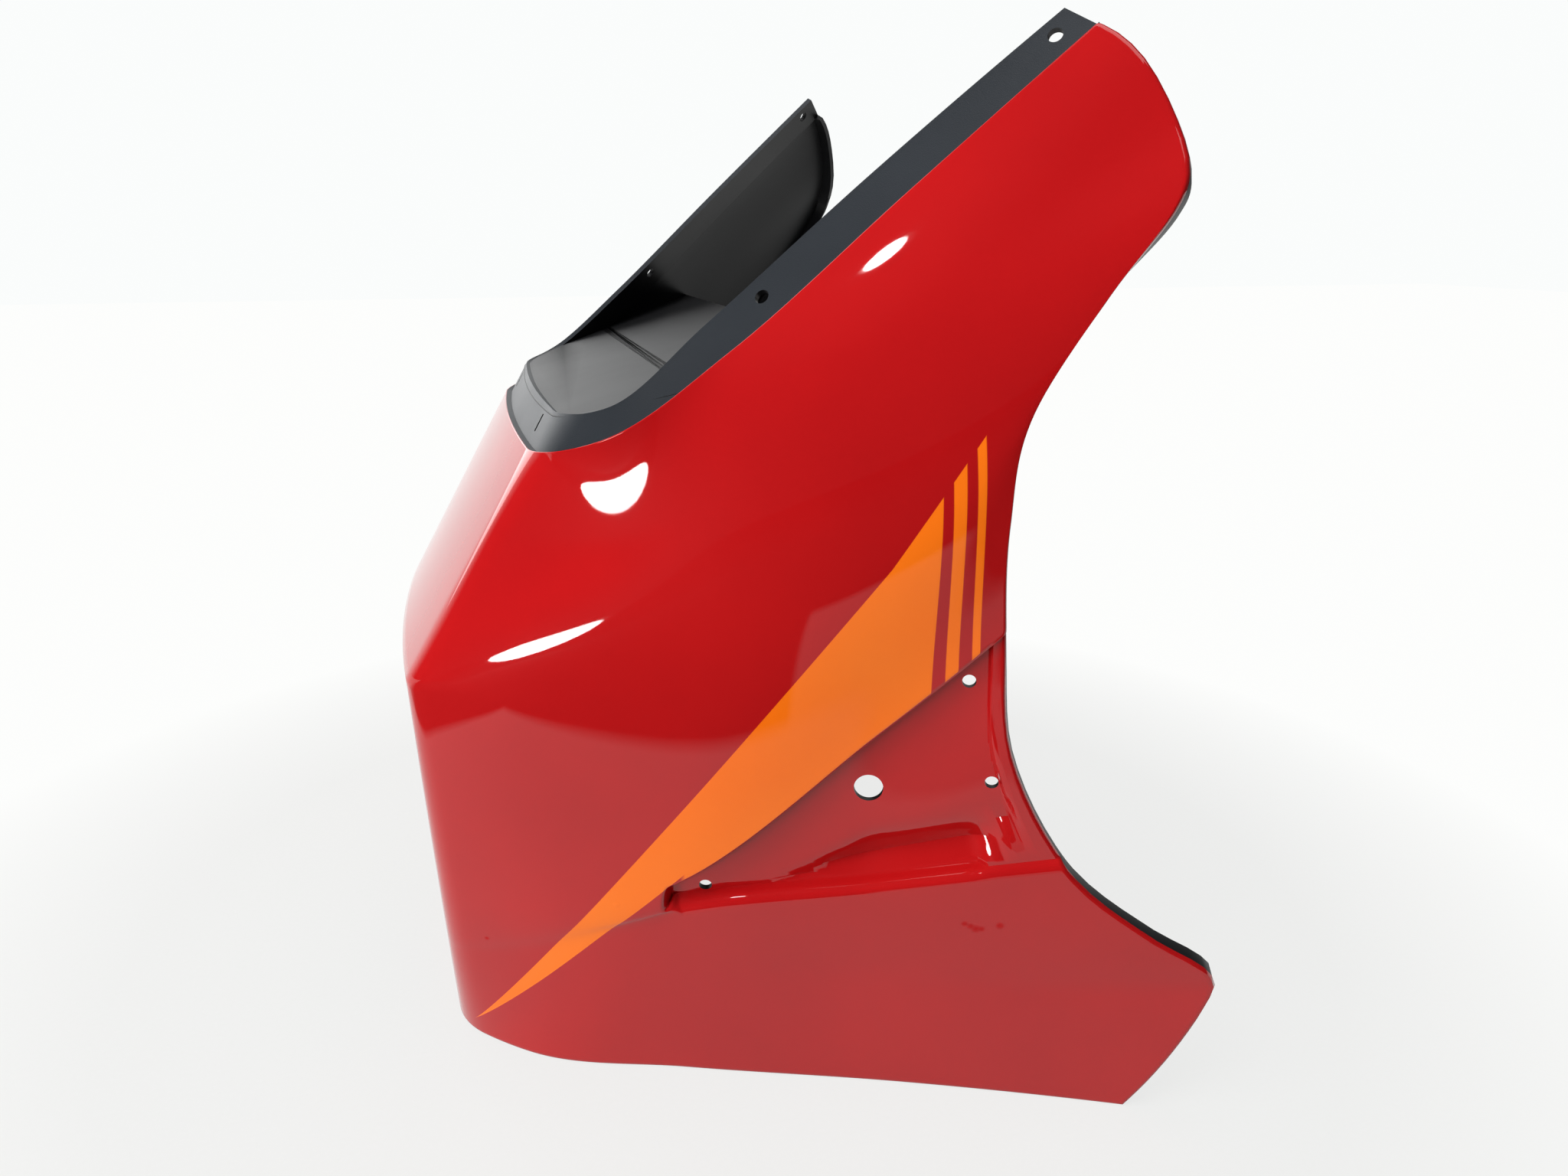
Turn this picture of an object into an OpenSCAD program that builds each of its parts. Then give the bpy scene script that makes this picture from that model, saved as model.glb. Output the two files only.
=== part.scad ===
// Front upper cowl of a sport motorcycle: one injection-moulded shell.
// Frame: +X to the rear of the machine, -Y to its left side, +Z up. The shell stands on its hem.
// Origin: middle of the footprint's box, on the surface under the hem.

/* [Overall] */
// Length from the foot of the brow to the tips of the wings
cowl_l = 320; // [268:1:384]
// Width over the two wings
cowl_w = 428; // [358:1:514]
// Height from the hem to the rear end of the screen rim
cowl_h = 440; // [368:1:528]

/* [Nose] */
// Width between the two ridges where the brow meets the screen seat
brow_top_w = 204; // [170:1:245]
// Width between the ridges at the foot of the brow
brow_foot_w = 182; // [152:1:218]
// Height of the foot of the brow over the hem
brow_foot_z = 184; // [154:1:220]
// How far the top of the brow is raked back from its foot
brow_rake = 56; // [47:1:67]
// Width between the ridges at the hem
chin_w = 142; // [118:1:170]
// How far the hem is set back from the foot of the brow
chin_back = 9; // [7:0.5:12]
// How far the middle of the brow stands ahead of its ridges
brow_bulge = 4; // [2:0.5:7]
// Radius of the ridge at the foot of the brow
ridge_r = 8; // [6:0.5:12]

/* [Shell] */
// Thickness of the moulded wall
wall = 2.6; // [2:0.1:3.4]
// Depth of the lip turned in along the rear edge and the hem
lip_depth = 9; // [6:0.5:12]
// Thickness of that lip
lip_w = 2.8; // [2:0.1:3.4]
// Rounding of the painted edge over the lip
edge_r = 2; // [1:0.1:2.4]

/* [Screen seat] */
// How far the seat lies under the paint
seat_step = 2.8; // [2:0.1:4]
// Diameter of the screen's screw holes
screw_d = 5.6; // [4.5:0.1:7]
// Distance of the rear screw hole from the rear end of the seat
screw_inset = 10; // [8:0.5:20]
// Width of the slot at each side of the nose
slot_w = 2.5; // [2:0.1:4]
// Length of that slot
slot_l = 8; // [6:0.5:10]

/* [Side recess] */
// Depth of the band along the rear edge
band_depth = 3; // [2:0.1:4]
// Depth of the recess floor
floor_depth = 7; // [5:0.1:9]
// Depth of the scoop under the floor
scoop_depth = 7; // [4:0.5:9]
// Width of the band along the rear edge
band_w = 7; // [6:0.5:9]
// Diameter of the grommet hole
grommet_d = 12; // [9:0.5:16]
// Diameter of the small holes
fixing_d = 5.5; // [4.5:0.1:7]

/* [Lamp opening] */
// Height of the chin bridge under the opening
chin_h = 20; // [14:1:30]
// Gap between the foot of the brow and the top of the opening
lamp_top_gap = 7; // [5:1:12]
// Distance of the opening from the ridge at each side
lamp_side_gap = 13; // [12:1:18]
// Corner radius of the opening
lamp_r = 12; // [5:1:18]

/* [Shelf] */
// Thickness of the shelf moulded across the inside
shelf_t = 2.4; // [2:0.1:3.2]
// Distance of the shelf's rear edge from the front
shelf_l = 174; // [150:1:200]
// Height of the shelf where it leaves the front wall
shelf_z = 290; // [285:1:293]
// Slope of the shelf, rising to the rear
shelf_slope = 17; // [13:1:19]

/* [Hidden] */
$fn = 48;

// Size at which the stations below were laid out: length, half width, height
form = [320, 214, 440];
stretch = [cowl_l / form.x, cowl_w / 2 / form.y, cowl_h / form.z];

// Eight level lines run round the skin: 0 rim, 1 seat step, 2 shoulder crease, 3 brow foot,
// 4 crease over the recess, 5 ledge under the recess, 6 wing, 7 hem
levels = [0, 1, 2, 3, 4, 5, 6, 7];
// Height of the levels on the ridge
seat_z = 280 * stretch.z;
ridge_z = [seat_z + 16, seat_z, 252 * stretch.z, brow_foot_z, brow_foot_z * 0.36, brow_foot_z * 0.245,
    brow_foot_z * 0.12, 0];
// Radius of the ridge at the levels
ridge_round = [1.7, 1.5, 1.1, 1, 1.3, 1.4, 1.5, 1.6] * ridge_r;

// Stations down the side, each as distance from the front, half width and height at the eight
// levels. The first is measured from the ridge, the others from the front.
station_1 = [[18, 21, 5], [24, 27, 8], [31, 25, -2], [35, 27, 4],
    [33, 25, 16], [35, 25, 10], [36, 28, 5], [30, 30, 0]];
station_2 = [[125, 129, 332], [132, 144, 322], [125, 155, 272], [115, 155, 205],
    [105, 139, 100], [111, 137, 84], [115, 133, 42], [111, 130, 0]];
station_3 = [[184, 142, 385], [193, 159, 377], [195, 183, 324], [187, 185, 254],
    [183, 171, 173], [185, 166, 100], [193, 162, 49], [200, 164, 0]];
// Rear edge, at the levels and between them
edge_level = [0, 1, 1.35, 1.7, 2, 2.25, 2.6, 3, 3.5, 4, 4.5, 5, 5.5, 5.85, 6, 6.15, 6.5, 7];
edge = [[248, 162, 440], [256, 174, 433], [266, 188, 421], [273, 202, 399], [272, 212, 383],
    [267, 214, 371], [249, 209, 344], [228, 201, 305], [224, 195, 263], [227, 190, 219],
    [231, 191, 168], [258, 195, 115], [293, 206, 84], [316, 213.5, 69], [320, 214, 62], [317, 213.5, 53],
    [307, 210, 30], [289, 203, 0]];
// Place of the ridge, the stations and the rear edge along the side
station_at = [0, 0.13, 0.38, 0.68, 1];

// Lengths over which the steps fall: at the seat, at the recess's walls, its front end, its ledge
step_run = 0.9;
wall_run = 1.4;
end_run = 3;
ledge_run = 1.7;
// Rounding over the ledge
ledge_r = 4;

// Holes of the recess as they show from the side: distance from the front, height, diameter
recess_holes = [[118, 95.2, fixing_d], [181, 146, grommet_d], [215.5, 195.5, fixing_d], [226, 151.5, fixing_d]];
// Place of the forward screw hole and of the nose slot along the skin
screw_u = 2.435;
screw_v = 0.4;
slot_u = 0.82;

function mix(a, b, s) = a + (b - a) * s;
function clamp(x, low = 0, high = 1) = min(max(x, low), high);
function scaled(p) = [p.x * stretch.x, p.y * stretch.y, p.z * stretch.z];

// Smooth curve through the points p at the knots k
function chord(k, p, i) = (p[i + 1] - p[i]) / (k[i + 1] - k[i]);
function slope(k, p, i) =
    i == 0 ? 2 * chord(k, p, 0) - slope(k, p, 1)
    : i == len(k) - 1 ? 2 * chord(k, p, i - 1) - slope(k, p, i - 1)
    : (chord(k, p, i) * (k[i] - k[i - 1]) + chord(k, p, i - 1) * (k[i + 1] - k[i])) / (k[i + 1] - k[i - 1]);
function span_of(k, t, i = 0) = i >= len(k) - 2 || t < k[i + 1] ? i : span_of(k, t, i + 1);
function curve(k, p, t) =
    let (i = span_of(k, t), h = k[i + 1] - k[i], s = (t - k[i]) / h)
    p[i] * (1 + 2 * s) * (1 - s) ^ 2 + p[i + 1] * s * s * (3 - 2 * s)
    + h * (slope(k, p, i) * s * (1 - s) ^ 2 - slope(k, p, i + 1) * s * s * (1 - s));

// The same down the levels, but straight across the screen seat, which folds at the step
function tail(a) = [for (i = [1 : len(a) - 1]) a[i]];
function down_levels(k, p, v) = v < 1 ? mix(p[0], p[1], v) : curve(tail(k), tail(p), v);

// Ridge between the front and the side, from its height
function brow_share(z) = (z - brow_foot_z) / (seat_z - brow_foot_z);
function chin_share(z) = 1 - z / brow_foot_z;
function ridge_half(z) = z > brow_foot_z ? mix(brow_foot_w, brow_top_w, brow_share(z)) / 2
    : mix(brow_foot_w, chin_w, chin_share(z) ^ 2) / 2;
function ridge_x(z) = brow_bulge + (z > brow_foot_z ? brow_rake * brow_share(z) : chin_back * chin_share(z));
function ridge_point(z) = [ridge_x(z), ridge_half(z), z];
guides = [[for (i = levels) ridge_point(ridge_z[i]) + scaled(station_1[i])],
    [for (p = station_2) scaled(p)], [for (p = station_3) scaled(p)]];
rear = [for (p = edge) scaled(p)];

// Point of the bare skin on one side, as [distance from the front, half width, height]: u runs from
// the middle of the front (0) over the start (1) and the end (2) of the ridge's round to the rear
// edge (3), and v down the levels
function front_point(r, s) = [r.x - brow_bulge * (1 - s * s), r.y * s, r.z];
function skin(u, v) =
    let (r = ridge_point(down_levels(levels, ridge_z, v)),
        g = [r, for (p = guides) down_levels(levels, p, v), down_levels(edge_level, rear, v)],
        radius = lookup(v, [for (i = levels) [i, ridge_round[i]]]),
        front_end = 1 - radius / r.y,
        side_start = radius / norm(chord(station_at, g, 0)))
    u <= 1 ? front_point(r, front_end * u)
    : u >= 2 ? curve(station_at, g, mix(side_start, 1, u - 2))
    : front_point(r, front_end) * (2 - u) ^ 2 + r * 2 * (u - 1) * (2 - u)
        + curve(station_at, g, side_start) * (u - 1) ^ 2;
function outward(u, v) =
    let (n = cross(skin(u + 0.01, v) - skin(u - 0.01, v), skin(u, v + 0.01) - skin(u, v - 0.01)))
    n / norm(n);

// Lengths in which the steps are measured: along the skin by the recess and by the rear edge for one
// unit of u, and down it from level to level
side_length = norm(skin(2.5, 4.5) - skin(2.4, 4.5)) / 0.1;
function rear_length(v) = norm(skin(3, v) - skin(2.96, v)) / 0.04;
function level_lengths(u) = [for (k = [0 : 6]) norm(skin(u, k + 1) - skin(u, k))];
function below(lengths, v, level) = (v - level) * lengths[v < level ? level - 1 : level];

// Line of the recess's front end, rounded into the crease and into the ledge
front_u = 2.345;
function round_off(r, s) = r * (1 - sqrt(1 - clamp(s) ^ 2));
function front_line(v) =
    front_u + (round_off(3, (4.35 - v) / 0.35) + round_off(7, (v - 4.35) / 0.65)) / side_length;
// Line of the band along the rear edge, which widens under the scoop's rear wall
function band_line(v) = 3 - (band_w + 26 * clamp(v < 5 ? (v - 4.76) / 0.2 : 6 - v)) / rear_length(v);

// Columns of the grid over one side, as [kind, value]: a share of the skin, mm behind the recess's
// front line, a share between the two lines, mm ahead of the band's line, mm ahead of the rear edge
SHARE = 0;
FRONT = 1;
BETWEEN = 2;
BAND = 3;
EDGE = 4;
columns = [
    for (u = [0, 0.5, 0.85, 1, 1.5, 2, 2.08, 2.17, 2.26]) [SHARE, u],
    for (mm = [-wall, 0, end_run, 8]) [FRONT, mm],
    for (s = [1 : 6]) [BETWEEN, s / 7],
    for (mm = [wall_run, 0, wall_run - wall, -wall]) [BAND, mm],
    for (mm = [lip_w + 0.6, lip_w, 0.8, 0]) [EDGE, mm]];
function column_u(column, v) =
    let (kind = column[0], value = column[1])
    kind == SHARE ? value
    : kind == FRONT ? front_line(v) + value / side_length
    : kind == BETWEEN
        ? mix(front_line(v) + 8 / side_length, band_line(v) - wall_run / rear_length(v), value)
    : kind == BAND ? band_line(v) - value / rear_length(v)
    : 3 - value / rear_length(v);

// Rows of the grid, as [level, place, mm]: mm below that level, mm above the next one, or a share
// of what the margins leave between them
BELOW = -1;
ABOVE = -2;
rows = [
    [0, BELOW, 0], [0, 0.5], [0, ABOVE, step_run],
    [1, BELOW, 0], [1, BELOW, wall], [1, 0.3], [1, 0.65],
    [2, BELOW, 0], [2, 0.33], [2, 0.67],
    [3, BELOW, 0], [3, 0.3], [3, 0.65], [3, ABOVE, wall], [3, ABOVE, wall - wall_run],
    [4, BELOW, 0], [4, BELOW, wall_run], for (s = [0 : 3]) [4, s / 3],
    [4, ABOVE, ledge_r + ledge_run], [4, ABOVE, ledge_r],
    [5, BELOW, 0], [5, BELOW, wall], [5, 0.45], [5, 0.85],
    [6, BELOW, 0], [6, 0.15], [6, 0.55],
    [6, ABOVE, lip_w + 0.6], [6, ABOVE, lip_w], [6, ABOVE, 0.8], [6, ABOVE, 0]];
margin_below = [0, wall, 0, 0, 4, wall, 0];
margin_above = [step_run, 0, 0, wall, ledge_r + ledge_run + 2, 0, lip_w];
function row_v(row, lengths) =
    let (k = row[0], place = row[1], l = lengths[k])
    k + (place == BELOW ? row[2] : place == ABOVE ? l - row[2]
        : mix(margin_below[k], l - margin_above[k], place)) / l;

// How far a step has fallen, from 0 to 1, at the distance e past its upper edge
function fall(e, r, run, share) =
    e <= -r ? 0 : e < 0 ? share * (1 + e / r) ^ 2 : e < run ? mix(share, 1, e / run) : 1;

// Depths under the skin. grow moves each step outwards, which gives the inner face its wall.
function scoop(x, up, from_band) =
    scoop_depth * clamp(min((28 - up) / 14, (up - ledge_r - ledge_run) / 8,
        (0.6 * (x - 145) + 6 - up) / 14, from_band / 13));
function recess_depth(u, v, x, lengths, grow) =
    let (up = -below(lengths, v, 5),
        from_band = (band_line(v) - u) * rear_length(v),
        inside = min(fall(below(lengths, v, 4) + grow, 2.5, wall_run, 0.1),
            fall(up - ledge_r + grow, ledge_r, ledge_run, 0.4),
            fall((u - front_line(v)) * side_length + grow, 2, end_run, 0.2)))
    inside * (mix(band_depth, floor_depth, fall(from_band + grow, 0.5, wall_run, 0.1))
        + scoop(x, up, from_band));
function steps_depth(u, v, x, lengths, grow) =
    seat_step * fall(grow - below(lengths, v, 1), 0.5, step_run, 0.1)
    + (v > 3.5 && v < 5.5 && u > 2 ? recess_depth(u, v, x, lengths, grow) : 0);
function edge_fall(e) = e >= edge_r ? 0 : edge_r * (1 - sqrt(1 - (1 - e / edge_r) ^ 2));
function outer_depth(u, v, x, lengths) =
    let (to_rear = (3 - u) * rear_length(v), to_hem = (7 - v) * lengths[6])
    steps_depth(u, v, x, lengths, 0) + (v < 1 ? 0 : max(edge_fall(to_rear), edge_fall(to_hem)));
function inner_depth(u, v, x, lengths) =
    let (to_rear = (3 - u) * rear_length(v), to_hem = (7 - v) * lengths[6])
    max(wall + steps_depth(u, v, x, lengths, wall),
        v >= 1 && min(to_rear, to_hem) < lip_w + 0.1 ? lip_depth : 0);

// The grid of one side: shares, points of the bare skin and its normals
lengths_at = [for (c = columns) level_lengths(column_u(c, 4.2))];
grid = [for (r = rows) [for (j = [0 : len(columns) - 1])
    let (v = row_v(r, lengths_at[j])) [column_u(columns[j], v), v]]];
bare = [for (r = grid) [for (p = r) skin(p[0], p[1])]];
last_row = len(rows) - 1;
last_column = len(columns) - 1;
function grid_normal(i, j) =
    let (along = j == 0 ? [0, 1, 0] : bare[i][min(j + 1, last_column)] - bare[i][j - 1],
        down = bare[min(i + 1, last_row)][j] - bare[max(i - 1, 0)][j],
        n = cross(along, down))
    n / norm(n);

// The full sheet runs from the right rear edge round the nose to the left rear edge. The lip along
// its hem is flat underneath.
sheet_w = 2 * last_column + 1;
function sheet(inner) = [for (i = [0 : last_row]) for (c = [-last_column : last_column])
    let (j = abs(c), p = bare[i][j], u = grid[i][j][0], v = grid[i][j][1], n = grid_normal(i, j),
        d = inner ? inner_depth(u, v, p.x, lengths_at[j]) : outer_depth(u, v, p.x, lengths_at[j]),
        q = p - d * n)
    [q.x, c == 0 ? 0 : -sign(c) * q.y, i == last_row ? 0 : max(q.z, 0)]];
outer_skin = sheet(false);
inner_skin = sheet(true);
// Half the whole length, which the lips lengthen a little at the wings
middle = max([for (p = inner_skin) p.x]) / 2;

function at(i, c) = i * sheet_w + c;
function skin_faces() = [for (i = [0 : last_row - 1]) for (c = [0 : sheet_w - 2])
    let (a = at(i, c), b = at(i, c + 1), d = at(i + 1, c), e = at(i + 1, c + 1))
    each c < last_column ? [[a, b, d], [b, e, d]] : [[a, b, e], [a, e, d]]];
function border() = concat(
    [for (c = [0 : sheet_w - 1]) at(0, c)],
    [for (i = [1 : last_row]) at(i, sheet_w - 1)],
    [for (c = [sheet_w - 2 : -1 : 0]) at(last_row, c)],
    [for (i = [last_row - 1 : -1 : 1]) at(i, 0)]);
function wall_faces(loop, m) = [for (k = [0 : len(loop) - 1])
    let (a = loop[k], b = loop[(k + 1) % len(loop)])
    each [[b, a, a + m], [b, a + m, b + m]]];
module moulded_sheet() {
    m = len(outer_skin);
    faces = skin_faces();
    polyhedron(
        points = concat(outer_skin, inner_skin),
        faces = concat(faces, [for (f = faces) [f[0] + m, f[2] + m, f[1] + m]], wall_faces(border(), m)));
}

// Puts its children on the skin of one side (-1 left, 1 right) at u, v, with Z along the normal
module on_skin(u, v, side) {
    p = skin(u, v);
    n = outward(u, v);
    translate([p.x, side * p.y, p.z])
        rotate([0, acos(n.z), atan2(side * n.y, n.x)])
            children();
}

// Share of the skin whose side view is x, z, closed in on step by step
function locate(x, z, u = 2.5, v = 4.5, turns = 8) =
    let (p = skin(u, v), a = (skin(u + 0.01, v) - p) / 0.01, b = (skin(u, v + 0.01) - p) / 0.01,
        dx = x - p.x, dz = z - p.z, det = a.x * b.z - b.x * a.z)
    turns == 0 ? [u, v]
    : locate(x, z, u + (dx * b.z - b.x * dz) / det, v + (a.x * dz - dx * a.z) / det, turns - 1);

module screw_holes() {
    for (side = [-1, 1]) {
        for (u = [screw_u, 3 - screw_inset / rear_length(screw_v)])
            on_skin(u, screw_v, side)
                cylinder(d = screw_d, h = 30, center = true);
        on_skin(slot_u, 0.45, side)
            cube([slot_l, slot_w, 30], center = true);
    }
}

module recess_hole_cuts() {
    for (side = [-1, 1])
        for (h = recess_holes) {
            place = locate(h[0] * stretch.x, h[1] * stretch.z);
            on_skin(place[0], place[1], side)
                cylinder(d = h[2], h = 60, center = true);
        }
}

// Opening for the lamp: its sides follow the ridges, its corners are rounded
function lamp_half(z) = ridge_half(z) - lamp_side_gap;
module lamp_opening() {
    top = brow_foot_z - lamp_top_gap;
    side = [for (s = [0 : 0.125 : 1]) let (z = mix(chin_h + lamp_r, top - lamp_r, s)) [z, lamp_half(z)]];
    function corner(z, dir) = [for (a = [15 : 15 : 90])
        [z + dir * lamp_r * sin(a), lamp_half(z) - lamp_r * (1 - cos(a))]];
    upper = corner(top - lamp_r, 1);
    lower = corner(chin_h + lamp_r, -1);
    half = concat([for (k = [len(lower) - 1 : -1 : 0]) lower[k]], side, upper);
    outline = concat(half, [for (k = [len(half) - 1 : -1 : 0]) [half[k][0], -half[k][1]]]);
    translate([-10, 0, 0])
        rotate([0, -90, 180])
            linear_extrude(10 + 40)
                polygon(outline);
}

// Shelf moulded across the inside under the seat: it follows the inner wall, half sunk into it
function shelf_height(x) = shelf_z * stretch.z + tan(shelf_slope) * (x - brow_bulge - brow_rake);
function shelf_v(u, low = 0.1, high = 2.9, turns = 20) =
    let (v = (low + high) / 2, p = skin(u, v))
    turns == 0 ? v : p.z > shelf_height(p.x) ? shelf_v(u, v, high, turns - 1) : shelf_v(u, low, v, turns - 1);
module shelf() {
    half = [for (u = [0, 0.4, 0.7, 0.9, 1, 1.25, 1.5, 1.75, 2, for (k = [1 : 10]) 2 + k * 0.075])
        let (v = shelf_v(u), p = skin(u, v) - outward(u, v) * (wall * 0.5 + (v < 1 ? seat_step : 0)))
        [p.x / cos(shelf_slope), p.y]];
    outline = concat(half, [for (k = [len(half) - 1 : -1 : 1]) [half[k][0], -half[k][1]]]);
    translate([0, 0, shelf_height(0)])
        intersection() {
            rotate([0, -shelf_slope, 0])
                translate([0, 0, -shelf_t])
                    linear_extrude(shelf_t)
                        polygon(outline);
            translate([0, -cowl_w / 2, -cowl_h])
                cube([shelf_l * stretch.x, cowl_w, 2 * cowl_h]);
        }
}

// The shell
module cowl_shell() {
    color([0.72, 0.07, 0.09])
        translate([-middle, 0, 0])
            difference() {
                resize([0, cowl_w, cowl_h]) {
                    moulded_sheet();
                    shelf();
                }
                lamp_opening();
                screw_holes();
                recess_hole_cuts();
            }
}

cowl_shell();
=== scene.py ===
"""Looks of a motorcycle's front upper cowl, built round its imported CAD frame."""
import math

import bmesh
import bpy
import numpy as np
from bpy.props import FloatProperty, FloatVectorProperty, PointerProperty
from mathutils import Matrix, Vector


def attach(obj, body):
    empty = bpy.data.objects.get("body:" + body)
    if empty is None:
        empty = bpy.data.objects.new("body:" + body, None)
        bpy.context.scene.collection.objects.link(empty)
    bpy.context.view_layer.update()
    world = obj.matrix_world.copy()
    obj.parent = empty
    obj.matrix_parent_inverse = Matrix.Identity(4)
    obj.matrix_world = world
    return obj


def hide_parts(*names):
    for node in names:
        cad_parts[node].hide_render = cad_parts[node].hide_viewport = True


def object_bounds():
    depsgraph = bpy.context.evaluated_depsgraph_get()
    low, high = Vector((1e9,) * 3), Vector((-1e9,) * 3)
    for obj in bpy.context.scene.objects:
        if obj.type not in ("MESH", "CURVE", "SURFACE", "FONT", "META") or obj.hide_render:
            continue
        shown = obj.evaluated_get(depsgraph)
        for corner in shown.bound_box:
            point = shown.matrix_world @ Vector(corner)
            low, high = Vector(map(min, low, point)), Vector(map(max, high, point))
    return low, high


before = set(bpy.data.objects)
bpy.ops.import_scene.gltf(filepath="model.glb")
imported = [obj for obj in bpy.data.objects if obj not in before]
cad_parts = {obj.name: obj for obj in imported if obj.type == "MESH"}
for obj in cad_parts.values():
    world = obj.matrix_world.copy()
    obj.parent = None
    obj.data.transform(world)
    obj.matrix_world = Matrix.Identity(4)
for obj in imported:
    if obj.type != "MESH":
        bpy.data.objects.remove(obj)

bl_info = {
    "name": "Front upper cowl",
    "version": (1, 0, 0),
    "blender": (4, 5, 0),
    "location": "View3D > Sidebar > Cowl",
    "description": "Builds a moulded and painted front upper cowl with its film stripes",
    "category": "Add Mesh",
}

CAD_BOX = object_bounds()
MM = 0.001
NODE = "cowl_shell"

# Materials of the shell, as slots of its mesh
PAINT, SEAT, INNER = 0, 1, 2

# The level lines round the skin, from the rim (0) over the seat's step (1), the shoulder (2), the foot of
# the brow (3), the crease over the recess (4), the ledge under it (5) and the wing (6) to the hem (7)
LEVELS = np.arange(8.0)
SEAT_Z, BROW_FOOT_Z = 280.0, 184.0
BROW_TOP_W, BROW_FOOT_W, BROW_RAKE = 204.0, 182.0, 56.0
CHIN_W, CHIN_BACK, BROW_BULGE, RIDGE_R = 142.0, 9.0, 4.0, 8.0
RIDGE_Z = np.array([SEAT_Z + 16, SEAT_Z, 252, BROW_FOOT_Z, BROW_FOOT_Z * 0.36, BROW_FOOT_Z * 0.245,
                    BROW_FOOT_Z * 0.12, 0])
RIDGE_ROUND = RIDGE_R * np.array([1.7, 1.5, 1.1, 1, 1.3, 1.4, 1.5, 1.6])
STATION_1 = np.array([[18, 21, 5], [24, 27, 8], [31, 25, -2], [35, 27, 4],
                      [33, 25, 16], [35, 25, 10], [36, 28, 5], [30, 30, 0]], float)
STATION_2 = np.array([[125, 129, 332], [132, 144, 322], [125, 155, 272], [115, 155, 205],
                      [105, 139, 100], [111, 137, 84], [115, 133, 42], [111, 130, 0]], float)
STATION_3 = np.array([[184, 142, 385], [193, 159, 377], [195, 183, 324], [187, 185, 254],
                      [183, 171, 173], [185, 166, 100], [193, 162, 49], [200, 164, 0]], float)
EDGE_LEVEL = np.array([0, 1, 1.35, 1.7, 2, 2.25, 2.6, 3, 3.5, 4, 4.5, 5, 5.5, 5.85, 6, 6.15, 6.5, 7])
EDGE = np.array([[248, 162, 440], [256, 174, 433], [266, 188, 421], [273, 202, 399], [272, 212, 383],
                 [267, 214, 371], [249, 209, 344], [228, 201, 305], [224, 195, 263], [227, 190, 219],
                 [231, 191, 168], [258, 195, 115], [293, 206, 84], [316, 213.5, 69], [320, 214, 62],
                 [317, 213.5, 53], [307, 210, 30], [289, 203, 0]], float)
STATION_AT = np.array([0, 0.13, 0.38, 0.68, 1])
FRONT_U, COLUMN_V = 2.345, 4.2

# Steps of the skin, as [rounding of the upper edge, run of the wall, share of the fall that is rounded]
LEDGE_R, LEDGE_RUN = 4.0, 1.7
SEAT_FALL = (0.8, 0.9, 0.12)
CREASE_FALL = (2.5, 1.4, 0.1)
LEDGE_FALL = (LEDGE_R, LEDGE_RUN, 0.4)
FRONT_FALL = (2, 3.0, 0.2)
BAND_FALL = (0.5, 1.4, 0.1)

# The scoop over the ledge: its upper side, its slopes, and its sloping fold as [x, height, rise]
SCOOP_TOP, SCOOP_SLOPE, SCOOP_FOOT, SCOOP_WALL, SCOOP_BLEND = 28, 14, 8, 13, 0.25
SCOOP_FOLD = (145, 6, 0.6)

# Holes: screws of the screen on the seat and the holes of the recess, as [distance from the front, height,
# diameter] in the side view
SCREW_U, SCREW_V, SLOT_U, SLOT_V = 2.435, 0.4, 0.82, 0.45
SLOT_SIZE, HOLE_CUT = (2.5, 8, 30), 50
RECESS_HOLES = ((118, 95.2, 5.5), (181, 146, 12), (215.5, 195.5, 5.5), (226, 151.5, 5.5))

# Wear on the left side, as [x, z, radius] in mm: dull scuffs on the wing and one bubble under the film
SCUFFS = ((59.6, 86.9, 1.6), (62, 85.8, 1.8), (64.2, 84.6, 2.3), (66.2, 84.7, 1.7), (73.2, 86.9, 2),
          (-134.2, 60, 1.2))
BUBBLE = ((-79.2, 88.9, 1.6),)

# The film stripes in the side view, as pairs of points in mm from the middle of the shell
WEDGE_TOP = ((-142.2, 9.0), (-29.2, 172.3))
WEDGE_TOP_REAR = ((8.9, 223.8), (52, 298.5))
WEDGE_FOOT = ((-142.2, 9.0), (-50, 108.5))
RECESS_FOOT = ((-52.8, 95), (56, 203))
WEDGE_REAR = ((37.3, 271), (39.8, 199.8))
BARS = ((((40.5, 277.5), (44.5, 204)), ((44.5, 284), (49, 207))),
        (((48.0, 285), (53.4, 213)), ((50.6, 290), (56.0, 217))))
# Painted light: the film stripes glow with this colour, which makes them brighter than the lamps light them
FILM_PAINTED_GLOW = (0.13, 0.022, 0)

# Lamps: name, place, aim, size, watts, shape and whether mirror rays see it
LAMPS = (
    ("key", (-1.39, -0.82, 0.15), (-0.07, -0.13, 0.27), (0.68, 0.2), 9, "ELLIPSE", True),
    ("streak", (-0.95, -0.75, 1.39), (0.013, -0.16, 0.353), (0.1, 0.1), 1.2, "ELLIPSE", True),
    ("over", (0.1, -0.3, 2.4), (0, -0.1, 0), (1.6, 1.6), 19, "RECTANGLE", True),
    ("back", (-1.0, 1.9, 1.1), (0, 0, 0.25), (1.6, 1.6), 16, "RECTANGLE", True),
    ("fill", (-1.39, -0.8, 1.95), (0, -0.1, 0.2), (1.6, 1.6), 36, "RECTANGLE", False),
)
CAMERA_PLACE, CAMERA_TURN, CAMERA_FALL = (-0.12573, -0.573, 0.366), math.radians(15.17), math.radians(17.11)
CAMERA_LENS, SENSOR_W = 27.07, 36.0
FLOOR_HALF, SHARP_ANGLE = 6, math.radians(38)


# ---------------------------------------------------------------- the skin as a surface of u and v

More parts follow.
